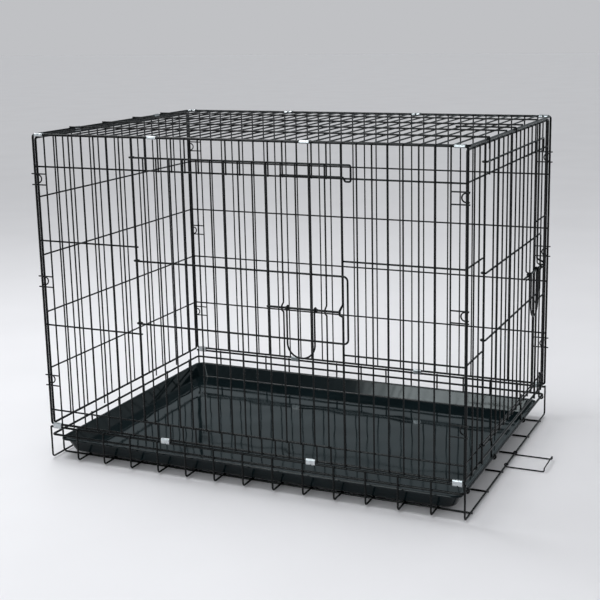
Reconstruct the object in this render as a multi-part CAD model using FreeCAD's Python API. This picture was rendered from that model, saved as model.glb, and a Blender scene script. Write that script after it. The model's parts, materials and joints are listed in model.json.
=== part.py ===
import FreeCAD, Part
import math
import os

from FreeCAD import Vector

# Folding two-door dog crate of welded, black coated steel wire with a moulded tray.
# Millimetres, +Z up. The long front side faces -Y, and the tray pulls out at the +X end.
# The origin is on the floor, under the middle of the whole crate's box.
# Both doors are shut, both slide bolts are drawn back and the tray keeper is let down.

# Driving dimensions: the crate
LENGTH = 1067.0  # over the frames of the long panels
WIDTH = 740.0  # over the frames of the front and back panels
HEIGHT = 812.0  # from the floor to the top of the roof grille
PANEL_BOTTOM = 91.0  # bottom rail of the upright panels
SILL_Z = 63.0  # wire ring round the base that the right end panel folds about

# Driving dimensions: wire diameters
FRAME_WIRE = 5.5
CROSS_WIRE = 4.0
FILL_WIRE = 3.6
JAMB_WIRE = 5.0
DOOR_WIRE = 4.4
BASE_WIRE = 4.4
BOLT_ROD = 5.0
HANDLE_WIRE = 4.0
KEEPER_WIRE = 3.0
HOOK_WIRE = 4.0
CATCH_WIRE = 3.2

# Driving dimensions: fits
WELD = 0.4  # how deep crossing wires sink into each other at a spot weld
RAIL_GAP = 2.2  # between two rails that one clip holds together
RUN_GAP = 0.4  # round a wire inside an eye, a guide or a hinge clip
SEAT_GAP = 0.05  # between pieces that lie on each other
SIDE_GAP = 4.0  # from an end panel to the long panel beside it

# How the panels are divided
LONG_CELLS = 31
END_CELLS = 19
LONG_JAMBS = (8, 23)  # the doorway's two edge wires, counted from the hinge side's post
END_JAMBS = (3, 16)
PLAIN_CROSSES = 4
BASE_CELLS = 14
RUNNERS = 6
RUNNER_INSET = 47.5  # of the outer runners from the side rails

# Bends
FRAME_BEND = 6.0
BASE_BEND = 8.0
DOOR_BEND = 10.0
SMALL_BEND = 4.0

# Where the rails meet: the roof lies between the front and back panels, level with their top rails
FRAME_X = LENGTH / 2 - FRAME_WIRE / 2
FRAME_Y = WIDTH / 2 - FRAME_WIRE / 2
RAIL_STEP = FRAME_WIRE + RAIL_GAP
ROOF_Z = HEIGHT - FRAME_WIRE / 2 - CROSS_WIRE + WELD
ROOF_HALF = FRAME_Y - RAIL_STEP
ROOF_CROSS_Z = ROOF_Z + (FRAME_WIRE + CROSS_WIRE) / 2 - WELD
ROOF_FILL_Z = ROOF_CROSS_Z - (CROSS_WIRE + FILL_WIRE) / 2 + WELD
ROOF_FILL_END = ROOF_HALF - FRAME_WIRE / 4  # inside the rail that the wire is welded to
LONG_TOP = ROOF_Z  # top rail of the front and back panels
PANEL_TOP = ROOF_Z - RAIL_STEP  # top rail of the end panels, which stand under the roof
BASE_RAIL_Z = PANEL_BOTTOM - RAIL_STEP
OVERHANG = 2.0  # of a wire past the rail or cross wire that it is welded to

# Layers of a plain panel, measured inward from the plane of its frame
FILL_LAYER = -(FRAME_WIRE + FILL_WIRE) / 2 + WELD
CROSS_LAYER = FILL_LAYER + (FILL_WIRE + CROSS_WIRE) / 2 - WELD

# Layers of a panel with a doorway and of its door, whose wires stay separate and lie on each other
SIDE_FILL_LAYER = -(FRAME_WIRE + FILL_WIRE) / 2 - SEAT_GAP
SIDE_CROSS_LAYER = SIDE_FILL_LAYER + (FILL_WIRE + CROSS_WIRE) / 2 + SEAT_GAP
JAMB_LAYER = -(FRAME_WIRE + JAMB_WIRE) / 2 - SEAT_GAP
DOOR_EYE = (JAMB_WIRE + DOOR_WIRE) / 2 + RUN_GAP
DOOR_LAYER = JAMB_LAYER - DOOR_EYE
DOOR_FILL_LAYER = DOOR_LAYER - (DOOR_WIRE + FILL_WIRE) / 2 - SEAT_GAP
BOLT_LAYER = DOOR_FILL_LAYER - (FILL_WIRE + BOLT_ROD) / 2 - RUN_GAP
GUIDE_LAYER = BOLT_LAYER - (BOLT_ROD + FILL_WIRE) / 2 - RUN_GAP
STAPLE_LAYER = BOLT_LAYER - (BOLT_ROD + JAMB_WIRE) / 2 - RUN_GAP
HANDLE_EYE = (BOLT_ROD + HANDLE_WIRE) / 2 + RUN_GAP
HANDLE_LAYER = BOLT_LAYER - HANDLE_EYE

# Heights on the two panels with doorways
THRESHOLD = 37.0  # from the bottom rail up to the doorway
LINTEL = 67.0  # from the doorway up to the top rail
GRILLE_RISE = 217.0  # of the lower side-grille cross wire above the doorway's foot
GRILLE_DROP = 178.0  # of the upper side-grille cross wire below the doorway's head
LATCH_RISE = 317.0  # of the bolt above the doorway's foot
LOWER_CROSS = PANEL_BOTTOM + THRESHOLD
UPPER_CROSS = PANEL_TOP - LINTEL
GRILLE_CROSSES = (LOWER_CROSS + GRILLE_RISE, UPPER_CROSS - GRILLE_DROP)
LATCH_Z = LOWER_CROSS + LATCH_RISE

# The door: how far it covers the panel round the doorway
HEAD_COVER = 30.0
LOOP_BELOW = 72.0  # the door's middle loop, below and above the bolt
LOOP_ABOVE = 77.0
LOOP_REACH = 13.5  # past the latch-side jamb
TOP_REACH = 23.5
CURL_STEP = 12.0  # the foot of the curl at the end of the door's top wire
CURL_RUN = 6.0
CURL_DEPTH = 5.0  # below the doorway's head
RETURN_RISE = 4.0  # of the wire's straight return above the doorway's head
RETURN_CELLS = 4
DOOR_TOP = UPPER_CROSS + HEAD_COVER
DOOR_RETURN = UPPER_CROSS + RETURN_RISE
DOOR_DIP = UPPER_CROSS - CURL_DEPTH
DOOR_LOOP = (LATCH_Z - LOOP_BELOW, LATCH_Z + LOOP_ABOVE)
DOOR_BOTTOM = LOWER_CROSS + (CROSS_WIRE + DOOR_WIRE) / 2 + RUN_GAP

# The latch
GUIDE_CELLS = (1, 4)  # the door wires that are bent out round the bolt, counted from the jamb
HANDLE_CELLS = (3.4, 1.48)  # the handle's eyes when the bolt is halfway, counted the same way
GUIDE_HALF = 4.5
STAPLE_HALF = 4.5
GUIDE_SLOPE = 6.5
STAPLE_SLOPE = 9.0
BOLT_TRAVEL = 17.0
BOLT_ENGAGED = 12.0  # past the jamb when shot
BOLT_TAIL = 38.0  # past the far guide when drawn back
COLLAR_STEP = 1.1
COLLAR_SIZE = BOLT_ROD + 2 * COLLAR_STEP
COLLAR_LENGTH = 2.5
HANDLE_DROP = 110.0

# The base
RUNNER_Z = BASE_WIRE / 2
FLOOR_Z = RUNNER_Z + BASE_WIRE - WELD
UPRIGHT_Y = FRAME_Y + (FRAME_WIRE + BASE_WIRE) / 2 - WELD
END_WIRE_X = LENGTH / 2 - BASE_WIRE / 2
SILL_RIGHT = END_WIRE_X - (FRAME_WIRE + BASE_WIRE) / 2 + WELD
SILL_LEFT = -FRAME_X
RUNNER_LEFT = SILL_LEFT - (FRAME_WIRE + BASE_WIRE) / 2 + WELD

# The end panels
END_HALF = FRAME_Y - FRAME_WIRE - SIDE_GAP
LEG_EYE = (FRAME_WIRE + DOOR_WIRE) / 2 + RUN_GAP
LEG_LAYER = (FRAME_WIRE + DOOR_WIRE) / 2 + SEAT_GAP
RIGHT_X = SILL_RIGHT - LEG_EYE + LEG_LAYER
LEG_INSET = 14.0  # of the outer two hinge legs from the posts
INNER_LEGS = (-128.0, 145.0)
LEG_PLACES = (-END_HALF + LEG_INSET, *INNER_LEGS, END_HALF - LEG_INSET)
LEFT_X = -FRAME_X
STUB_CELLS = (3, 6, 13)  # wires of the left end panel that reach down to the base
STUB_GAP = 3.5  # above the sill
STUB_Z = SILL_Z + FRAME_WIRE / 2 + STUB_GAP

# Clips, catches and hooks
CLIP_LENGTH = 22.0
CLIP_SHEET = 1.0
CLIP_NOTCH = 5.0  # the half-round notch in a clip's far edge
LONG_CLIP_CELLS = (0, 9, 20, 30)
LEFT_CLIP_CELLS = (4, 14)
CATCH_INSET_LOW = 114.0  # of the outer catches from the panel's rails
CATCH_INSET_HIGH = 97.0
CATCH_LOW = PANEL_BOTTOM + CATCH_INSET_LOW
CATCH_HIGH = PANEL_TOP - CATCH_INSET_HIGH
CATCH_HEIGHTS = (CATCH_LOW, (CATCH_LOW + CATCH_HIGH) / 2, CATCH_HIGH)
CATCH_HALF = 13.0
CATCH_REACH = 3.5  # past the post
CATCH_LAYER = -(FRAME_WIRE + CATCH_WIRE) / 2 - SEAT_GAP
LOOP_LAYER = -CATCH_LAYER
LOOP_HALF = 9.5
LOOP_LEG = 4.5
HOOK_CELLS = (3.5, 9.5)
HOOK_RUN_CELLS = 4  # how far a hook reaches over the roof
HOOK_DROP = 24.0

# The tray's keeper, whose bar hooks over the right end panel's bottom rail when it is raised
KEEPER_EYE = (BASE_WIRE + KEEPER_WIRE) / 2 + RUN_GAP
KEEPER_CLEAR = 2.5  # over the rail
KEEPER_LENGTH = PANEL_BOTTOM + (FRAME_WIRE + KEEPER_WIRE) / 2 + KEEPER_CLEAR - FLOOR_Z
KEEPER_HOOK = 2 * KEEPER_EYE  # the bar lies no higher than the eyes when it is let down
KEEPER_MIDDLE = 15.0
KEEPER_HALF = 43.0
KEEPER_BEND = 3.5

# The tray, which slides over the keeper's eyes on two ribs
RIB_Z = FLOOR_Z + BASE_WIRE / 2 + RUN_GAP
RIB_WIDTH = 12.0
RIB_SIDE = 22.5  # from the middle of a rib to the wall beside it
RIB_END = 45.0  # from the end of a rib to the wall there
TRAY_BOTTOM = FLOOR_Z + KEEPER_EYE + KEEPER_WIRE / 2 + RUN_GAP
TRAY_RIM_Z = 50.0
TRAY_SHEET = 2.5
TRAY_RIM = 9.0  # width of the rim round the wall
TRAY_DRAFT = 16.0
TRAY_CORNER = 22.0
TRAY_END_GAP = 4.0
TRAY_SIDE_GAP = 8.0
TRAY_LEFT = SILL_LEFT + FRAME_WIRE / 2 + TRAY_END_GAP
TRAY_RIGHT = SILL_RIGHT - LEG_EYE - TRAY_END_GAP
TRAY_HALF_Y = FRAME_Y - FRAME_WIRE / 2 - TRAY_SIDE_GAP

# The box that the origin is set under
BOX_LEFT = -(FRAME_X + FRAME_WIRE / 2 + CATCH_REACH)
BOX_RIGHT = END_WIRE_X + KEEPER_LENGTH + KEEPER_WIRE / 2
BOX_FRONT = -FRAME_Y + STAPLE_LAYER - JAMB_WIRE / 2
BOX_BACK = UPRIGHT_Y + BASE_WIRE / 2
ORIGIN = Vector((BOX_LEFT + BOX_RIGHT) / 2, (BOX_FRONT + BOX_BACK) / 2, 0)

DOWN = Vector(0, 0, -1)


def rod(start, end, wire):
    """A straight length of wire."""
    along = end - start
    return Part.makeCylinder(wire / 2, along.Length, start, along)


def rounded_path(points, bend):
    """Edges through the points, with each corner rounded to the bend radius."""
    edges = []
    at = points[0]
    for before, corner, after in zip(points, points[1:], points[2:]):
        back = (before - corner).normalize()
        ahead = (after - corner).normalize()
        half_angle = back.getAngle(ahead) / 2
        setback = bend / math.tan(half_angle)
        inward = (back + ahead).normalize()
        middle = corner + inward * (bend / math.sin(half_angle) - bend)
        begin = corner + back * setback
        edges.append(Part.makeLine(at, begin))
        at = corner + ahead * setback
        edges.append(Part.Arc(begin, middle, at).toShape())
    edges.append(Part.makeLine(at, points[-1]))
    return edges


def swept(edges, wire):
    """A wire bent along the edges."""
    first = edges[0]
    start = first.valueAt(first.FirstParameter)
    along = first.tangentAt(first.FirstParameter)
    section = Part.Wire([Part.makeCircle(wire / 2, start, along)])
    return Part.Wire(edges).makePipeShell([section], True, False)


def bent(points, wire, bend):
    return swept(rounded_path(points, bend), wire)


def ring_point(centre, radius, degrees, across, up):
    """The point of a circle at an angle from its across direction to its up direction."""
    turn = math.radians(degrees)
    return centre + across * (radius * math.cos(turn)) + up * (radius * math.sin(turn))


def eye_arc(centre, radius, angles, across, up):
    """Three quarters of a circle, the eye at the end of a wire."""
    return Part.Arc(*[ring_point(centre, radius, a, across, up) for a in angles]).toShape()


def ring_frame(low, high, wire, bend, plane_point):
    """A closed frame of bent wire; plane_point turns two flat coordinates into a point."""
    (a0, b0), (a1, b1) = low, high
    middle = (a0 + a1) / 2
    flat = [(middle, b0), (a1, b0), (a1, b1), (a0, b1), (a0, b0), (middle, b0)]
    return swept(rounded_path([plane_point(a, b) for a, b in flat], bend), wire)


def welded(pieces):
    """Wires welded into one piece."""
    whole = pieces[0].multiFuse(pieces[1:])
    if len(whole.Solids) != 1 or not whole.isValid():
        raise ValueError("the wires don't make one sound piece")
    return whole.Solids[0]


def turned(shape, degrees, offset):
    """A copy turned about +Z and moved: from a panel's own frame to the crate's."""
    copy = shape.copy()
    copy.rotate(Vector(0, 0, 0), Vector(0, 0, 1), degrees)
    copy.translate(offset)
    return copy


def on_front(shape):
    return turned(shape, 0, Vector(0, -FRAME_Y, 0))


def on_back(shape):
    return turned(shape, 180, Vector(0, FRAME_Y, 0))


def on_right_end(shape):
    return turned(shape, 90, Vector(RIGHT_X, 0, 0))


def on_left_end(shape):
    return turned(shape, -90, Vector(LEFT_X, 0, 0))


def upright_frame(half, top):
    """A panel's frame in its own coordinates: along, inward, up."""
    low, high = (-half, PANEL_BOTTOM), (half, top)
    return ring_frame(low, high, FRAME_WIRE, FRAME_BEND, lambda a, b: Vector(a, 0, b))


def fill_rod(along, layer, low, high):
    return rod(Vector(along, layer, low), Vector(along, layer, high), FILL_WIRE)


def cross_rod(height, layer, start, end):
    return rod(Vector(start, layer, height), Vector(end, layer, height), CROSS_WIRE)


def cell_edge(half, cells, number):
    """Where a panel's wire of this number stands, counted from the post at -half."""
    return -half + 2 * half * number / cells


def plain_heights(low, high):
    """Evenly spaced cross wires between two rails."""
    step = (high - low) / (PLAIN_CROSSES + 1)
    return [low + step * (i + 1) for i in range(PLAIN_CROSSES)]


def plain_panel(half, cells, top, stubs=()):
    """An upright panel with no doorway. Wires in stubs reach down past its bottom rail."""
    pieces = [upright_frame(half, top)]
    for number in range(1, cells):
        low = STUB_Z if number in stubs else PANEL_BOTTOM - OVERHANG
        pieces.append(fill_rod(cell_edge(half, cells, number), FILL_LAYER, low, top + OVERHANG))
    for height in plain_heights(PANEL_BOTTOM, PANEL_TOP):
        pieces.append(cross_rod(height, CROSS_LAYER, -half, half))
    return welded(pieces)


def jogged(along, layer, out_layer, half, slope, low, high, wire):
    """An upright wire that is bent out round the bolt at the height of the latch."""
    steps = [
        (layer, low),
        (layer, LATCH_Z - half - slope),
        (out_layer, LATCH_Z - half),
        (out_layer, LATCH_Z + half),
        (layer, LATCH_Z + half + slope),
        (layer, high),
    ]
    return bent([Vector(along, n, z) for n, z in steps], wire, SMALL_BEND)


def door_panel(half, cells, jambs, top, filled_below):
    """An upright panel with a doorway: its frame and its separate wires."""
    low, high = PANEL_BOTTOM - OVERHANG, top + OVERHANG
    hinge = cell_edge(half, cells, jambs[0])
    latch = cell_edge(half, cells, jambs[1])
    pieces = [upright_frame(half, top)]
    for number in range(1, cells):
        along = cell_edge(half, cells, number)
        if number == jambs[0]:
            foot, head = Vector(along, JAMB_LAYER, low), Vector(along, JAMB_LAYER, high)
            pieces.append(rod(foot, head, JAMB_WIRE))
        elif number == jambs[1]:
            staple = (JAMB_LAYER, STAPLE_LAYER, STAPLE_HALF, STAPLE_SLOPE)
            pieces.append(jogged(along, *staple, low, high, JAMB_WIRE))
        elif jambs[0] < number < jambs[1]:
            pieces.append(fill_rod(along, SIDE_FILL_LAYER, UPPER_CROSS - OVERHANG, high))
            if filled_below:
                pieces.append(fill_rod(along, SIDE_FILL_LAYER, low, LOWER_CROSS + OVERHANG))
        else:
            pieces.append(fill_rod(along, SIDE_FILL_LAYER, low, high))
    post = half - FRAME_WIRE / 2 - SEAT_GAP
    for height in (LOWER_CROSS, UPPER_CROSS):
        pieces.append(cross_rod(height, SIDE_CROSS_LAYER, -post, post))
    for height in GRILLE_CROSSES:
        pieces.append(cross_rod(height, SIDE_CROSS_LAYER, -post, hinge + JAMB_WIRE / 2))
        pieces.append(cross_rod(height, SIDE_CROSS_LAYER, latch - JAMB_WIRE / 2, post))
    return pieces


def door_eye(hinge, height):
    """The eye round the hinge-side jamb, up to the end of the door wire that it carries."""
    centre = Vector(hinge, JAMB_LAYER, height)
    return swept([eye_arc(centre, DOOR_EYE, (0, 135, 270), Vector(1, 0, 0), Vector(0, 1, 0))], DOOR_WIRE)


def door(half, cells, jambs):
    """A door: uprights on three bent wires, and the eyes at their ends that turn on the hinge-side jamb."""
    hinge = cell_edge(half, cells, jambs[0])
    latch = cell_edge(half, cells, jambs[1])
    cell = 2 * half / cells
    past_wire = FILL_WIRE / 2 + OVERHANG

    def on_door(along, height):
        return Vector(along, DOOR_LAYER, height)

    pieces = []
    for number in range(jambs[0] + 1, jambs[1]):
        along = cell_edge(half, cells, number)
        low, high = DOOR_BOTTOM - OVERHANG, DOOR_TOP + OVERHANG
        if jambs[1] - number in GUIDE_CELLS:
            guide = (DOOR_FILL_LAYER, GUIDE_LAYER, GUIDE_HALF, GUIDE_SLOPE)
            pieces.append(jogged(along, *guide, low, high, FILL_WIRE))
        else:
            pieces.append(fill_rod(along, DOOR_FILL_LAYER, low, high))

    corner = latch + TOP_REACH
    top_run = [
        on_door(hinge, DOOR_TOP),
        on_door(corner, DOOR_TOP),
        on_door(corner, DOOR_DIP),
        on_door(corner - CURL_STEP, DOOR_DIP),
        on_door(corner - CURL_STEP - CURL_RUN, DOOR_RETURN),
        on_door(latch - RETURN_CELLS * cell - past_wire, DOOR_RETURN),
    ]
    pieces.append(bent(top_run, DOOR_WIRE, SMALL_BEND))

    low, high = DOOR_LOOP
    loop_run = [
        on_door(hinge, high),
        on_door(latch + LOOP_REACH, high),
        on_door(latch + LOOP_REACH, low),
        on_door(hinge, low),
    ]
    pieces.append(bent(loop_run, DOOR_WIRE, DOOR_BEND))

    bottom_end = on_door(latch - cell + past_wire, DOOR_BOTTOM)
    pieces.append(rod(on_door(hinge, DOOR_BOTTOM), bottom_end, DOOR_WIRE))
    pieces += [door_eye(hinge, height) for height in (DOOR_TOP, high, low, DOOR_BOTTOM)]
    return Part.makeCompound(pieces)


def handle_places(latch, cell):
    """Where the handle's two eyes sit on the drawn-back bolt, each in its own gap of the door."""
    return [latch - share * cell - BOLT_TRAVEL / 2 for share in HANDLE_CELLS]


def bolt(latch, cell):
    """The slide bolt, drawn back clear of the staple, with a collar beyond each handle eye."""
    head = latch + BOLT_ENGAGED - BOLT_TRAVEL
    tail = latch - max(GUIDE_CELLS) * cell - BOLT_TAIL

    def on_bolt(along):
        return Vector(along, BOLT_LAYER, LATCH_Z)

    pieces = [rod(on_bolt(tail), on_bolt(head), BOLT_ROD)]
    near = HANDLE_WIRE / 2 + RUN_GAP
    for place, side in zip(handle_places(latch, cell), (-1, 1)):
        ends = [on_bolt(place + side * reach) for reach in (near, near + COLLAR_LENGTH)]
        pieces.append(rod(*ends, COLLAR_SIZE))
    return welded(pieces)


def handle(latch, cell):
    """The U-shaped pull that hangs on the bolt by two eyes."""
    left, right = handle_places(latch, cell)
    radius = (right - left) / 2
    low = LATCH_Z - HANDLE_DROP + radius
    inward, up = Vector(0, 1, 0), Vector(0, 0, 1)
    first_eye = eye_arc(Vector(left, BOLT_LAYER, LATCH_Z), HANDLE_EYE, (-90, 45, 180), inward, up)
    last_eye = eye_arc(Vector(right, BOLT_LAYER, LATCH_Z), HANDLE_EYE, (180, 45, -90), inward, up)
    top_left, low_left = Vector(left, HANDLE_LAYER, LATCH_Z), Vector(left, HANDLE_LAYER, low)
    top_right, low_right = Vector(right, HANDLE_LAYER, LATCH_Z), Vector(right, HANDLE_LAYER, low)
    bottom = Vector((left + right) / 2, HANDLE_LAYER, low - radius)
    edges = [
        first_eye,
        Part.makeLine(top_left, low_left),
        Part.Arc(low_left, bottom, low_right).toShape(),
        Part.makeLine(low_right, top_right),
        last_eye,
    ]
    return swept(edges, HANDLE_WIRE)


def hinge_leg(along):
    """A leg of the right end panel, with the eye that turns on the base's sill."""
    centre = Vector(along, LEG_LAYER - LEG_EYE, SILL_Z)
    eye = eye_arc(centre, LEG_EYE, (-270, -135, 0), Vector(0, 1, 0), Vector(0, 0, 1))
    foot = Vector(along, LEG_LAYER, SILL_Z)
    head = Vector(along, LEG_LAYER, LOWER_CROSS + OVERHANG)
    return swept([eye, Part.makeLine(foot, head)], DOOR_WIRE)


def roof_panel():
    """The roof grille in the crate's own coordinates: short wires between its rails, long ones on top."""
    low, high = (-FRAME_X, -ROOF_HALF), (FRAME_X, ROOF_HALF)
    pieces = [ring_frame(low, high, FRAME_WIRE, FRAME_BEND, lambda a, b: Vector(a, b, ROOF_Z))]
    for number in range(1, LONG_CELLS):
        along = cell_edge(FRAME_X, LONG_CELLS, number)
        ends = [Vector(along, across, ROOF_FILL_Z) for across in (-ROOF_FILL_END, ROOF_FILL_END)]
        pieces.append(rod(*ends, FILL_WIRE))
    reach = FRAME_X + OVERHANG
    for across in plain_heights(-ROOF_HALF, ROOF_HALF):
        start, end = Vector(-reach, across, ROOF_CROSS_Z), Vector(reach, across, ROOF_CROSS_Z)
        pieces.append(rod(start, end, CROSS_WIRE))
    return welded(pieces)


def base_basket():
    """Cross wires turned up at the front and back, runners turned up at the left, rails and sill."""
    pieces = []
    top = BASE_RAIL_Z + OVERHANG
    for number in range(BASE_CELLS + 1):
        along = cell_edge(END_WIRE_X, BASE_CELLS, number)
        run = [(-UPRIGHT_Y, top), (-UPRIGHT_Y, FLOOR_Z), (UPRIGHT_Y, FLOOR_Z), (UPRIGHT_Y, top)]
        pieces.append(bent([Vector(along, y, z) for y, z in run], BASE_WIRE, BASE_BEND))
    for number in range(RUNNERS):
        across = cell_edge(FRAME_Y - RUNNER_INSET, RUNNERS - 1, number)
        run = [
            Vector(END_WIRE_X + BASE_WIRE / 2, across, RUNNER_Z),
            Vector(RUNNER_LEFT, across, RUNNER_Z),
            Vector(RUNNER_LEFT, across, SILL_Z + OVERHANG),
        ]
        pieces.append(bent(run, BASE_WIRE, BASE_BEND))
    for side in (-1, 1):
        ends = [Vector(end * LENGTH / 2, side * FRAME_Y, BASE_RAIL_Z) for end in (-1, 1)]
        pieces.append(rod(*ends, FRAME_WIRE))
    low, high = (SILL_LEFT, -FRAME_Y), (SILL_RIGHT, FRAME_Y)
    pieces.append(ring_frame(low, high, FRAME_WIRE, BASE_BEND, lambda a, b: Vector(a, b, SILL_Z)))
    return welded(pieces)


def rounded_rectangle(inset, corner, height):
    """The tray's outline at one height, set in from the outside of its rim."""
    x0, x1 = TRAY_LEFT + inset, TRAY_RIGHT - inset
    y0, y1 = -TRAY_HALF_Y + inset, TRAY_HALF_Y - inset
    middle = (x0 + x1) / 2
    flat = [(middle, y0), (x1, y0), (x1, y1), (x0, y1), (x0, y0), (middle, y0)]
    return Part.Wire(rounded_path([Vector(x, y, height) for x, y in flat], corner))


def tapered(low_inset, low_z, high_inset, high_z):
    """A tapered block between two of the tray's outlines."""
    low = rounded_rectangle(low_inset, TRAY_CORNER, low_z)
    high = rounded_rectangle(high_inset, TRAY_CORNER, high_z)
    return Part.makeLoft([low, high], True, True)


def tray():
    """The moulded tray: sloping walls, a flat rim, a flat floor and two ribs under it."""
    foot = TRAY_RIM + TRAY_DRAFT
    floor_z = TRAY_BOTTOM + TRAY_SHEET
    rim_z = TRAY_RIM_Z - TRAY_SHEET
    rim = Part.Face(rounded_rectangle(0, TRAY_CORNER, rim_z)).extrude(Vector(0, 0, TRAY_SHEET))
    wall = tapered(foot, TRAY_BOTTOM, TRAY_RIM, TRAY_RIM_Z)
    hollow = tapered(foot + TRAY_SHEET, floor_z, TRAY_RIM + TRAY_SHEET, TRAY_RIM_Z)
    shell = wall.fuse(rim).cut(hollow)
    inside = foot + TRAY_SHEET
    rib_y = TRAY_HALF_Y - inside - RIB_SIDE
    rib_start, rib_end = TRAY_LEFT + inside + RIB_END, TRAY_RIGHT - inside - RIB_END
    rib_size = rib_end - rib_start, RIB_WIDTH, floor_z - TRAY_SHEET / 2 - RIB_Z
    for side in (-1, 1):
        corner = Vector(rib_start, side * rib_y - RIB_WIDTH / 2, RIB_Z)
        shell = shell.fuse(Part.makeBox(*rib_size, corner))
    return shell.removeSplitter().Solids[0]


def tray_keeper():
    """The wire bail that turns on the right end's floor wire, let down outward."""
    across, up = Vector(1, 0, 0), Vector(0, 0, 1)
    low = FLOOR_Z - KEEPER_EYE
    far = END_WIRE_X + KEEPER_LENGTH
    first, last = KEEPER_MIDDLE - KEEPER_HALF, KEEPER_MIDDLE + KEEPER_HALF
    first_eye = eye_arc(Vector(END_WIRE_X, first, FLOOR_Z), KEEPER_EYE, (0, 135, 270), across, up)
    last_eye = eye_arc(Vector(END_WIRE_X, last, FLOOR_Z), KEEPER_EYE, (270, 135, 0), across, up)
    run = [
        Vector(END_WIRE_X, first, low),
        Vector(far, first, low),
        Vector(far, first, low + KEEPER_HOOK),
        Vector(far, last, low + KEEPER_HOOK),
        Vector(far, last, low),
        Vector(END_WIRE_X, last, low),
    ]
    return swept([first_eye, *rounded_path(run, KEEPER_BEND), last_eye], KEEPER_WIRE)


def clip(centre, along, towards, gap):
    """A flat oval sheet clip round two rails. centre is on one, towards points from it to the other."""
    start = centre - along * (CLIP_LENGTH / 2)
    step = towards * RAIL_STEP
    sideways = along.cross(towards)

    def oval(radius):
        rails = [Part.makeCylinder(radius, CLIP_LENGTH, at, along) for at in (start, start + step)]
        across = sideways * radius
        corners = [start - across, start + step - across, start + step + across, start + across]
        web = Part.Face(Part.makePolygon([*corners, corners[0]])).extrude(along * CLIP_LENGTH)
        return rails[0].multiFuse([rails[1], web])

    inner = FRAME_WIRE / 2 + gap
    outer = inner + CLIP_SHEET
    far_edge = centre + step + towards * inner - sideways * outer
    notch = Part.makeCylinder(CLIP_NOTCH / 2, 2 * outer, far_edge, sideways)
    return oval(outer).cut(oval(inner)).cut(notch).removeSplitter().Solids[0]


def long_clips(side, height, towards):
    """A row of clips along the front (-1) or back (1), from the panel's rail at this height to another."""
    row = []
    for cell in LONG_CLIP_CELLS:
        at = Vector(cell_edge(FRAME_X, LONG_CELLS, cell + 0.5), side * FRAME_Y, height)
        row.append(clip(at, Vector(1, 0, 0), towards, SEAT_GAP))
    return Part.makeCompound(row)


def left_clips():
    """The two clips that the left end panel swings in."""
    row = []
    for cell in LEFT_CLIP_CELLS:
        at = Vector(LEFT_X, cell_edge(END_HALF, END_CELLS, cell + 0.5), ROOF_Z)
        row.append(clip(at, Vector(0, 1, 0), DOWN, RUN_GAP))
    return Part.makeCompound(row)


def corner_catches(end):
    """Three catches on one post of a long panel: two bars outside, a loop inside. end is -1 or 1."""
    row = []
    post = end * FRAME_X
    wire_side = end * (FRAME_X - 2 * FRAME_X / LONG_CELLS + FILL_WIRE / 2 + SEAT_GAP)
    tip = end * (FRAME_X + FRAME_WIRE / 2 + CATCH_REACH)
    for middle in CATCH_HEIGHTS:
        for height in (middle - CATCH_HALF, middle + CATCH_HALF):
            start, finish = Vector(tip, CATCH_LAYER, height), Vector(wire_side, CATCH_LAYER, height)
            row.append(rod(start, finish, CATCH_WIRE))
        outer, inner = post + end * FRAME_WIRE / 2, post - end * LOOP_LEG
        low, high = middle - LOOP_HALF, middle + LOOP_HALF
        crown = Vector(inner - end * LOOP_HALF, LOOP_LAYER, middle)
        places = ((outer, low), (inner, low), (inner, high), (outer, high))
        corners = [Vector(a, LOOP_LAYER, z) for a, z in places]
        edges = [
            Part.makeLine(corners[0], corners[1]),
            Part.Arc(corners[1], crown, corners[2]).toShape(),
            Part.makeLine(corners[2], corners[3]),
        ]
        row.append(swept(edges, CATCH_WIRE))
    return Part.makeCompound(row)


def roof_hooks():
    """Two hooks that run from the roof over its right rail and down outside the end panel."""
    row = []
    last_wire = cell_edge(FRAME_X, LONG_CELLS, LONG_CELLS - HOOK_RUN_CELLS)
    lie = ROOF_Z + (FRAME_WIRE + HOOK_WIRE) / 2 + SEAT_GAP
    hang = FRAME_X + (FRAME_WIRE + HOOK_WIRE) / 2 + SEAT_GAP
    for cell in HOOK_CELLS:
        across = cell_edge(END_HALF, END_CELLS, cell)
        run = [
            Vector(last_wire - OVERHANG, across, lie),
            Vector(hang, across, lie),
            Vector(hang, across, lie - HOOK_DROP),
        ]
        row.append(bent(run, HOOK_WIRE, SMALL_BEND))
    return Part.makeCompound(row)


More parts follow.
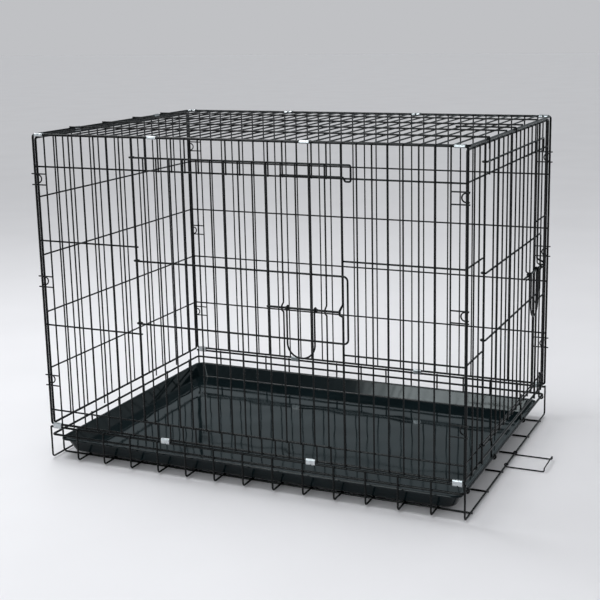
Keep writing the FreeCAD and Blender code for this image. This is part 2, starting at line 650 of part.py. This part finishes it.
def crate():
    """Every piece of the crate, by name, in the crate's own coordinates."""
    front_latch = cell_edge(FRAME_X, LONG_CELLS, LONG_JAMBS[1])
    front_cell = 2 * FRAME_X / LONG_CELLS
    end_latch = cell_edge(END_HALF, END_CELLS, END_JAMBS[1])
    end_cell = 2 * END_HALF / END_CELLS
    front_wires = door_panel(FRAME_X, LONG_CELLS, LONG_JAMBS, LONG_TOP, True)
    end_wires = door_panel(END_HALF, END_CELLS, END_JAMBS, PANEL_TOP, False)
    end_wires += [hinge_leg(along) for along in LEG_PLACES]
    return {
        "base_basket": base_basket(),
        "tray": tray(),
        "tray_keeper": tray_keeper(),
        "front_panel": on_front(Part.makeCompound(front_wires)),
        "front_door": on_front(door(FRAME_X, LONG_CELLS, LONG_JAMBS)),
        "front_door_bolt": on_front(bolt(front_latch, front_cell)),
        "front_door_handle": on_front(handle(front_latch, front_cell)),
        "back_panel": on_back(plain_panel(FRAME_X, LONG_CELLS, LONG_TOP)),
        "roof_panel": roof_panel(),
        "left_end_panel": on_left_end(plain_panel(END_HALF, END_CELLS, PANEL_TOP, STUB_CELLS)),
        "right_end_panel": on_right_end(Part.makeCompound(end_wires)),
        "end_door": on_right_end(door(END_HALF, END_CELLS, END_JAMBS)),
        "end_door_bolt": on_right_end(bolt(end_latch, end_cell)),
        "end_door_handle": on_right_end(handle(end_latch, end_cell)),
        "front_top_clips": long_clips(-1, LONG_TOP, Vector(0, 1, 0)),
        "back_top_clips": long_clips(1, LONG_TOP, Vector(0, -1, 0)),
        "front_bottom_clips": long_clips(-1, PANEL_BOTTOM, DOWN),
        "back_bottom_clips": long_clips(1, PANEL_BOTTOM, DOWN),
        "left_hinge_clips": left_clips(),
        "front_left_catches": on_front(corner_catches(-1)),
        "front_right_catches": on_front(corner_catches(1)),
        "back_left_catches": on_back(corner_catches(1)),
        "back_right_catches": on_back(corner_catches(-1)),
        "roof_hooks": roof_hooks(),
    }


os.makedirs("parts", exist_ok=True)
for name, shape in crate().items():
    shape.translate(-ORIGIN)
    shape.exportStep("parts/" + name + ".step")
    print(name, len(shape.Solids), "solids", round(shape.Volume), "mm3")
print("origin", ORIGIN)
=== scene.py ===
# %% [markdown]
# # A folding wire dog crate
# The crate is welded from round steel wire, and every wire of it comes from the CAD model, so this
# scene starts by loading that model as a fixed frame. What is left for Blender is what the eye
# reads as real: the finish on the wire, the bright clips, the moulded tray, and the light.

# %% Load the frame
import json
import math

import bpy
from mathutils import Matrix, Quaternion, Vector


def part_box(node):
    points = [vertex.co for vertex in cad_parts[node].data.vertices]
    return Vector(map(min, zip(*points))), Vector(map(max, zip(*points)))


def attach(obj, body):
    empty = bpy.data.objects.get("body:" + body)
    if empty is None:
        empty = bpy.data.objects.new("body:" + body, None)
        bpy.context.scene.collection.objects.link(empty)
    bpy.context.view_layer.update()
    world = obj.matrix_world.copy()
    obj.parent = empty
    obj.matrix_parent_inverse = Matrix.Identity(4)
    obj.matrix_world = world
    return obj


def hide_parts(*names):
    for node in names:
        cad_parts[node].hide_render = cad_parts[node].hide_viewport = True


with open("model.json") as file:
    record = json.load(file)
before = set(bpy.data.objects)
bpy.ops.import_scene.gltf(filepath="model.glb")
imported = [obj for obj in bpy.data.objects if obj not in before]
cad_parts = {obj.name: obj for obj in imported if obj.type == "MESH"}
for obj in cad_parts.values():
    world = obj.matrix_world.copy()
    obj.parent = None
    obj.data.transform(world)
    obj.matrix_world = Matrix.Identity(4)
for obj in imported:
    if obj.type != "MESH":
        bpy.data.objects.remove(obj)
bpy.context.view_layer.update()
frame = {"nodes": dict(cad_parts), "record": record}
MM = 0.001

# %% [markdown]
# ## Colours and nodes
# Colours are written the way a paint chart gives them, as sRGB hex. Blender shades in linear light,
# so one function converts them. One more function adds a shader node, sets it up and links it, which
# keeps each finish below short enough to read as a recipe.


# %% Helpers for finishes
def linear(hex_colour):
    """An sRGB hex colour as linear red, green, blue and alpha."""
    parts = [int(hex_colour[i:i + 2], 16) / 255 for i in (1, 3, 5)]
    return [c / 12.92 if c <= 0.04045 else ((c + 0.055) / 1.055) ** 2.4 for c in parts] + [1.0]


def add_node(tree, kind, inputs=None, stops=(), **settings):
    """A new node: inputs are values or sockets to link from, stops are places and colours on a ramp."""
    node = tree.nodes.new(kind)
    for name, value in settings.items():
        setattr(node, name, value)
    for index, (position, colour) in enumerate(stops):
        node.color_ramp.elements[index].position = position
        node.color_ramp.elements[index].color = linear(colour)
    for name, value in (inputs or {}).items():
        if isinstance(value, bpy.types.NodeSocket):
            tree.links.new(value, node.inputs[name])
        else:
            node.inputs[name].default_value = value
    return node


def new_finish(name):
    """An empty material, its node tree, and the object coordinates that its patterns read."""
    material = bpy.data.materials.new(name)
    material.use_nodes = True
    tree = material.node_tree
    tree.nodes.clear()
    place = add_node(tree, "ShaderNodeTexCoord").outputs["Object"]
    return material, tree, place


def per_mm(size):
    """A texture scale whose features are about this many millimetres across."""
    return 1 / (size * MM)


# A noise texture mostly stays between these two values.
NOISE_LOW = 0.3
NOISE_HIGH = 0.7
print("helpers ready")

# %% [markdown]
# ## Black coated steel wire
# The welded grilles are dipped and baked in a black electrophoretic coat. It is a thin dielectric
# film: near-black, with a satin gloss that goes dull where the film is thin, and a faint orange peel.
# A broad noise varies the black a little along the wires, a finer one varies the gloss.


# %% Black coat on drawn steel
def black_coated_steel():
    material, tree, place = new_finish("black_coat_on_drawn_steel")
    broad = add_node(tree, "ShaderNodeTexNoise", {"Vector": place, "Scale": per_mm(90), "Detail": 3.0})
    fine = add_node(tree, "ShaderNodeTexNoise", {"Vector": place, "Scale": per_mm(7), "Detail": 4.0})
    # Real orange peel is about half a millimetre; it is drawn coarser so that it shows.
    peel = add_node(tree, "ShaderNodeTexNoise", {"Vector": place, "Scale": per_mm(1.6), "Detail": 2.0})
    gloss = add_node(tree, "ShaderNodeMapRange", {
        "Value": fine.outputs["Fac"], "From Min": NOISE_LOW, "From Max": NOISE_HIGH,
        "To Min": 0.22, "To Max": 0.36})
    bump = add_node(tree, "ShaderNodeBump", {
        "Height": peel.outputs["Fac"], "Strength": 0.25, "Distance": 0.1 * MM})
    colour = add_node(
        tree, "ShaderNodeValToRGB", {"Fac": broad.outputs["Fac"]},
        stops=[(NOISE_LOW, "#07090a"), (NOISE_HIGH, "#0d1011")])
    shader = add_node(tree, "ShaderNodeBsdfPrincipled", {
        "Base Color": colour.outputs["Color"],
        "Roughness": gloss.outputs["Result"],
        "Normal": bump.outputs["Normal"],
        "IOR": 1.5,
        "Specular IOR Level": 0.16,
    })
    add_node(tree, "ShaderNodeOutputMaterial", {"Surface": shader.outputs["BSDF"]})
    return material


coated_wire = black_coated_steel()
print(coated_wire.name)

# %% [markdown]
# ## Bright zinc clips
# The clips that hold the panels together are pressed from zinc-plated strip. Zinc is a bluish white
# metal; rolling leaves fine streaks along the strip and plating leaves a faint cloudiness.


# %% Zinc plate on pressed strip
def zinc_plated_strip():
    material, tree, place = new_finish("zinc_plate_on_pressed_strip")
    cloud = add_node(tree, "ShaderNodeTexNoise", {"Vector": place, "Scale": per_mm(6), "Detail": 3.0})
    stretched = add_node(tree, "ShaderNodeMapping", {"Vector": place, "Scale": (0.08, 0.08, 1.0)})
    # Rolling streaks are far finer than this; they are drawn wide enough to show.
    streak = add_node(tree, "ShaderNodeTexNoise", {
        "Vector": stretched.outputs["Vector"], "Scale": per_mm(0.8), "Detail": 2.0})
    gloss = add_node(tree, "ShaderNodeMapRange", {
        "Value": streak.outputs["Fac"], "From Min": NOISE_LOW, "From Max": NOISE_HIGH,
        "To Min": 0.34, "To Max": 0.5})
    bump = add_node(tree, "ShaderNodeBump", {
        "Height": streak.outputs["Fac"], "Strength": 0.2, "Distance": 0.05 * MM})
    colour = add_node(
        tree, "ShaderNodeValToRGB", {"Fac": cloud.outputs["Fac"]},
        stops=[(NOISE_LOW, "#a9adb0"), (NOISE_HIGH, "#c6c9cb")])
    shader = add_node(tree, "ShaderNodeBsdfPrincipled", {
        "Base Color": colour.outputs["Color"],
        "Metallic": 1.0,
        "Roughness": gloss.outputs["Result"],
        "Normal": bump.outputs["Normal"],
    })
    add_node(tree, "ShaderNodeOutputMaterial", {"Surface": shader.outputs["BSDF"]})
    return material


zinc_strip = zinc_plated_strip()
print(zinc_strip.name)

# %% [markdown]
# ## Black moulded tray plastic
# The tray is vacuum-formed from black polypropylene sheet. The sheet keeps a soft gloss, its forming
# leaves slow waves in the floor, and handling leaves cloudy patches that scatter a little more.


# %% Formed polypropylene sheet
def formed_polypropylene():
    material, tree, place = new_finish("formed_black_polypropylene")
    cloud = add_node(tree, "ShaderNodeTexNoise", {"Vector": place, "Scale": per_mm(120), "Detail": 5.0})
    wave = add_node(tree, "ShaderNodeTexNoise", {"Vector": place, "Scale": per_mm(85), "Detail": 0.0})
    # The sheet's own grain is finer; it is drawn at a size that still shows.
    grain = add_node(tree, "ShaderNodeTexNoise", {"Vector": place, "Scale": per_mm(1.5), "Detail": 2.0})
    gloss = add_node(tree, "ShaderNodeMapRange", {
        "Value": cloud.outputs["Fac"], "From Min": NOISE_LOW, "From Max": NOISE_HIGH,
        "To Min": 0.03, "To Max": 0.09})
    slow = add_node(tree, "ShaderNodeBump", {
        "Height": wave.outputs["Fac"], "Strength": 0.5, "Distance": 1.5 * MM})
    bump = add_node(tree, "ShaderNodeBump", {
        "Height": grain.outputs["Fac"], "Strength": 0.05, "Distance": 0.1 * MM,
        "Normal": slow.outputs["Normal"]})
    colour = add_node(
        tree, "ShaderNodeValToRGB", {"Fac": cloud.outputs["Fac"]},
        stops=[(NOISE_LOW, "#0c1416"), (NOISE_HIGH, "#121c1f")])
    shader = add_node(tree, "ShaderNodeBsdfPrincipled", {
        "Base Color": colour.outputs["Color"],
        "Roughness": gloss.outputs["Result"],
        "Normal": bump.outputs["Normal"],
        "IOR": 1.49,
        "Specular IOR Level": 0.25,
    })
    add_node(tree, "ShaderNodeOutputMaterial", {"Surface": shader.outputs["BSDF"]})
    return material


tray_plastic = formed_polypropylene()
print(tray_plastic.name)

# %% [markdown]
# ## Dress the frame
# The wires and clips already have their real shapes, so they keep their meshes and only change
# finish. The record names a material slot for every node, which is how each one finds its own.

# %% Give every wire and clip its finish
FINISHES = {"coated_wire": coated_wire, "zinc_steel": zinc_strip, "moulded_plastic": tray_plastic}
for subpart in frame["record"]["subparts"]:
    node = frame["nodes"][subpart["node"]]
    node.data.materials.clear()
    node.data.materials.append(FINISHES[subpart["material_slot"]])
print(len(frame["nodes"]), "nodes dressed")

# %% [markdown]
# ## The moulded tray
# A formed sheet has no sharp edge anywhere: the rim is turned down, the walls slope so that trays
# stack, and the floor is flat right up to them. It could be a box with a hollow cut out, but that
# gives knife edges. Here one rounded outline is extruded and scaled from level to level, and the
# sheet then gets its soft bends and its thickness from modifiers.

# %% Levels of the tray's sheet, from the turned-down lip to the floor
RIM_LIP = 4.0 * MM
RIM_WIDTH = 9.0 * MM
WALL_DRAFT = 16.0 * MM
SHEET = 2.5 * MM
RIB_DEPTH = 3.4 * MM
CORNER = 24.0 * MM
CORNER_SEGMENTS = 8
tray_low, tray_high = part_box("tray")
tray_size = tray_high - tray_low
tray_middle = (tray_low + tray_high) / 2
wall_foot = RIM_WIDTH + WALL_DRAFT
sheet_floor = tray_low.z + RIB_DEPTH + SHEET
tray_levels = [
    (0.0, tray_high.z - RIM_LIP),
    (0.0, tray_high.z),
    (RIM_WIDTH, tray_high.z),
    (wall_foot, sheet_floor),
]
print("tray", [round(v / MM, 1) for v in tray_size], "mm")


# %% Helpers for modelling by hand
def only(obj):
    """Makes obj the one selected and active object."""
    bpy.ops.object.select_all(action="DESELECT")
    obj.select_set(True)
    bpy.context.view_layer.objects.active = obj


def apply_modifier(obj, kind, **settings):
    """Adds a modifier with its settings and applies it."""
    only(obj)
    modifier = obj.modifiers.new(kind.lower(), kind)
    for name, value in settings.items():
        setattr(modifier, name, value)
    bpy.ops.object.modifier_apply(modifier=modifier.name)


def named_piece(obj, name, finish):
    """Puts the object's place into its mesh, and gives it its name and finish."""
    only(obj)
    bpy.ops.object.transform_apply(location=True, rotation=True, scale=True)
    obj.name = name
    obj.data.name = name
    obj.data.materials.clear()
    obj.data.materials.append(finish)
    return obj


def joined(objects):
    """Several objects as one mesh."""
    bpy.ops.object.select_all(action="DESELECT")
    for obj in objects:
        obj.select_set(True)
    bpy.context.view_layer.objects.active = objects[0]
    bpy.ops.object.join()
    return objects[0]


# %% Extrude the sheet from level to level
def tray_sheet():
    bpy.ops.object.select_all(action="DESELECT")
    bpy.ops.mesh.primitive_plane_add(size=1, location=(tray_middle.x, tray_middle.y, tray_levels[0][1]))
    sheet = bpy.context.object
    sheet.scale = (tray_size.x, tray_size.y, 1)
    bpy.ops.object.transform_apply(location=True, rotation=True, scale=True)
    bpy.ops.object.mode_set(mode="EDIT")
    bpy.ops.mesh.select_all(action="SELECT")
    bpy.ops.mesh.bevel(offset=CORNER, segments=CORNER_SEGMENTS, affect="VERTICES")
    bpy.ops.mesh.select_all(action="SELECT")
    bpy.ops.mesh.delete(type="ONLY_FACE")
    bpy.ops.mesh.select_all(action="SELECT")
    for (inset, height), (next_inset, next_height) in zip(tray_levels, tray_levels[1:]):
        rise = (0, 0, next_height - height)
        bpy.ops.mesh.extrude_edges_move(TRANSFORM_OT_translate={"value": rise, "orient_type": "GLOBAL"})
        shrink = [(side - 2 * next_inset) / (side - 2 * inset) for side in tray_size.xy]
        bpy.ops.transform.resize(
            value=(*shrink, 1), center_override=(tray_middle.x, tray_middle.y, next_height))
    bpy.ops.mesh.edge_face_add()
    bpy.ops.mesh.select_all(action="SELECT")
    bpy.ops.mesh.normals_make_consistent(inside=False)
    bpy.ops.object.mode_set(mode="OBJECT")
    return sheet


tray_piece = tray_sheet()
floor_face = max(tray_piece.data.polygons, key=lambda face: face.area)
print("floor faces up:", floor_face.normal.z > 0, "of", len(tray_piece.data.polygons), "faces")

# %% Give the sheet its soft bends and its thickness
SHEET_BEND = 3.0 * MM
BEND_SEGMENTS = 4
SOFT_ANGLE = math.radians(35)
apply_modifier(
    tray_piece, "BEVEL", width=SHEET_BEND, segments=BEND_SEGMENTS,
    limit_method="ANGLE", angle_limit=SOFT_ANGLE)
apply_modifier(tray_piece, "SOLIDIFY", thickness=SHEET, offset=-1, use_even_offset=True)
print("bent sheet", len(tray_piece.data.polygons), "faces")

# %% [markdown]
# Two shallow ribs under the floor carry the tray on the wires of the base, and leave room for the
# keeper's eyes. Each is a bar with rounded edges, joined to the sheet.

# %% Ribs under the floor
RIB_WIDTH = 12.0 * MM
RIB_INSET = 22.5 * MM
RIB_ROUND = 1.5 * MM
RIB_SEGMENTS = 3
FLAT_WEIGHT = 100
rib_reach = tray_size.x / 2 - wall_foot - CORNER


def tray_rib(side):
    place = tray_middle.y + side * (tray_size.y / 2 - wall_foot - RIB_INSET)
    top = sheet_floor - SHEET / 2
    bpy.ops.object.select_all(action="DESELECT")
    bpy.ops.mesh.primitive_cube_add(size=1, location=(tray_middle.x, place, (tray_low.z + top) / 2))
    rib = bpy.context.object
    rib.scale = (2 * rib_reach, RIB_WIDTH, top - tray_low.z)
    bpy.ops.object.transform_apply(location=True, rotation=True, scale=True)
    apply_modifier(rib, "BEVEL", width=RIB_ROUND, segments=RIB_SEGMENTS, limit_method="ANGLE")
    return rib


tray_piece = joined([tray_piece, tray_rib(-1), tray_rib(1)])
named_piece(tray_piece, "formed_tray", tray_plastic)
bpy.ops.object.shade_smooth_by_angle(angle=SOFT_ANGLE)
apply_modifier(tray_piece, "WEIGHTED_NORMAL", keep_sharp=True, weight=FLAT_WEIGHT)
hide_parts("tray")
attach(tray_piece, "tray")
print("formed tray", len(tray_piece.data.polygons), "faces")

# %% [markdown]
# ## Studio
# The crate stands on a wide pale floor that runs out of sight. A soft box high on the left lights it
# and drops a faint shadow to the front and right. The even light of a white room fills the rest, so a
# colour renders about as it is written. Gloss sees more of a real studio: walls that darken towards
# the ceiling, and one bright card, like a window.

# %% Floor
FLOOR_SPAN = 60.0


def studio_floor():
    material, tree, place = new_finish("matt_studio_paper")
    fibre = add_node(tree, "ShaderNodeTexNoise", {"Vector": place, "Scale": per_mm(400), "Detail": 2.0})
    colour = add_node(
        tree, "ShaderNodeValToRGB", {"Fac": fibre.outputs["Fac"]},
        stops=[(NOISE_LOW, "#e3e4e8"), (NOISE_HIGH, "#e6e7eb")])
    shader = add_node(tree, "ShaderNodeBsdfPrincipled", {
        "Base Color": colour.outputs["Color"],
        "Roughness": 0.75,
    })
    add_node(tree, "ShaderNodeOutputMaterial", {"Surface": shader.outputs["BSDF"]})
    bpy.ops.object.select_all(action="DESELECT")
    bpy.ops.mesh.primitive_plane_add(size=FLOOR_SPAN)
    floor = named_piece(bpy.context.object, "studio_floor", material)


studio_floor()
print("floor", FLOOR_SPAN, "m wide")

# %% Room light
ROOM_COLOUR = "#ffffff"
ROOM_STRENGTH = 0.72
BACKDROP_COLOUR = "#c0c1c4"
WALL_COLOUR = "#b9c5ca"
CEILING_COLOUR = "#3a3d42"
CEILING_FROM = 0.08
CEILING_FULL = 0.8


def room_light():
    """Even light for matt surfaces, a pale backdrop for the eye, and a dark ceiling in reflections."""
    world = bpy.data.worlds.new("studio_room")
    bpy.context.scene.world = world
    world.use_nodes = True
    tree = world.node_tree
    tree.nodes.clear()
    direction = add_node(tree, "ShaderNodeTexCoord").outputs["Generated"]
    height = add_node(tree, "ShaderNodeSeparateXYZ", {"Vector": direction}).outputs["Z"]
    walls = add_node(
        tree, "ShaderNodeValToRGB", {"Fac": height},
        stops=[(CEILING_FROM, WALL_COLOUR), (CEILING_FULL, CEILING_COLOUR)])
    path = add_node(tree, "ShaderNodeLightPath")
    mirrored = add_node(tree, "ShaderNodeMath", {
        0: path.outputs["Is Glossy Ray"], 1: path.outputs["Is Transmission Ray"]}, operation="MAXIMUM")
    even = add_node(
        tree, "ShaderNodeBackground", {"Color": linear(ROOM_COLOUR), "Strength": ROOM_STRENGTH})
    room = add_node(tree, "ShaderNodeBackground", {"Color": walls.outputs["Color"]})
    pale = add_node(tree, "ShaderNodeBackground", {"Color": linear(BACKDROP_COLOUR)})
    lit = add_node(tree, "ShaderNodeMixShader", {
        0: mirrored.outputs["Value"], 1: even.outputs["Background"], 2: room.outputs["Background"]})
    seen = add_node(tree, "ShaderNodeMixShader", {
        0: path.outputs["Is Camera Ray"], 1: lit.outputs["Shader"], 2: pale.outputs["Background"]})
    add_node(tree, "ShaderNodeOutputWorld", {"Surface": seen.outputs["Shader"]})


room_light()
print(bpy.context.scene.world.name, ROOM_STRENGTH)


# %% Soft box
def soft_lamp(name, place, aim, size, power):
    """A square area lamp at a place, turned to its aim, that the camera doesn't see."""
    lamp = bpy.data.lights.new(name, "AREA")
    lamp.size = size
    lamp.energy = power
    holder = bpy.data.objects.new(name, lamp)
    bpy.context.scene.collection.objects.link(holder)
    holder.visible_camera = False
    holder.location = place
    holder.rotation_euler = (Vector(aim) - Vector(place)).to_track_quat("-Z", "Y").to_euler()
    print(name, power, "W")
    return holder


soft_lamp("high_left_softbox", place=(-1.5, 0.0, 3.4), aim=(0.4, -1.6, 0.0), size=1.6, power=73)

# %% [markdown]
# ## The bright card
# The pale sheen on the tray's back wall is the reflection of something bright beside the camera. Only
# gloss sees this card, so it adds the sheen and no shadow. Its light fades towards its edges, as on a
# lit cloth; at full strength to the edge, the reflection would end in a hard line.

# %% Card that only gloss sees
CARD_COLOUR = "#f1fdff"
CARD_FADE = 0.25
CARD_MIDDLE = 0.5


def fade_edges(lamp, margin):
    """Lets an area lamp's light fall off smoothly towards its edges, over this share of its width."""
    lamp.use_nodes = True
    tree = lamp.node_tree
    tree.nodes.clear()
    across = add_node(tree, "ShaderNodeNewGeometry").outputs["Parametric"]
    sides = add_node(tree, "ShaderNodeSeparateXYZ", {"Vector": across})
    fades = []
    for axis in ("X", "Y"):
        inside = add_node(
            tree, "ShaderNodeMath", {0: sides.outputs[axis], 1: CARD_MIDDLE}, operation="PINGPONG")
        fades.append(add_node(tree, "ShaderNodeMapRange", {
            "Value": inside.outputs["Value"], "From Min": 0.0, "From Max": margin,
        }, interpolation_type="SMOOTHSTEP"))
    both = add_node(tree, "ShaderNodeMath", {
        0: fades[0].outputs["Result"], 1: fades[1].outputs["Result"]}, operation="MULTIPLY")
    glow = add_node(tree, "ShaderNodeEmission", {"Strength": both.outputs["Value"]})
    add_node(tree, "ShaderNodeOutputLight", {"Surface": glow.outputs["Emission"]})


card = soft_lamp(
    "window_card", place=(-0.45, -2.2, 1.47), aim=(0.3, 0.33, 0.03), size=1.5, power=66)
card.visible_diffuse = False
card.data.color = linear(CARD_COLOUR)[:3]
fade_edges(card.data, CARD_FADE)

# %% [markdown]
# ## Camera
# The viewpoint was found by fitting the crate's corners and the base wires to the photograph: about
# three metres away, a little above the roof, from the right of the front, with a small shift.

# %% Camera
CAMERA_PLACE = (1.1607, -2.6359, 1.0624)
CAMERA_LENS = 70.80
CAMERA_AZIMUTH = math.radians(23.84)
CAMERA_ELEVATION = math.radians(12.06)
CAMERA_ROLL = math.radians(-1.06)
CAMERA_SHIFT = (-0.03, -0.05)
FULL_FRAME = 36.0


def photo_camera():
    lens = bpy.data.cameras.new("photo_camera")
    lens.lens = CAMERA_LENS
    lens.sensor_width = FULL_FRAME
    lens.shift_x, lens.shift_y = CAMERA_SHIFT
    camera = bpy.data.objects.new("photo_camera", lens)
    bpy.context.scene.collection.objects.link(camera)
    level = math.cos(CAMERA_ELEVATION)
    aim = Vector((
        -math.sin(CAMERA_AZIMUTH) * level, math.cos(CAMERA_AZIMUTH) * level, -math.sin(CAMERA_ELEVATION)))
    camera.location = CAMERA_PLACE
    turn = aim.to_track_quat("-Z", "Y") @ Quaternion((0, 0, 1), CAMERA_ROLL)
    camera.rotation_euler = turn.to_euler()
    bpy.context.scene.camera = camera


photo_camera()
print("camera", CAMERA_PLACE, CAMERA_LENS, "mm")
bpy.context.scene.view_settings.view_transform = "Standard"
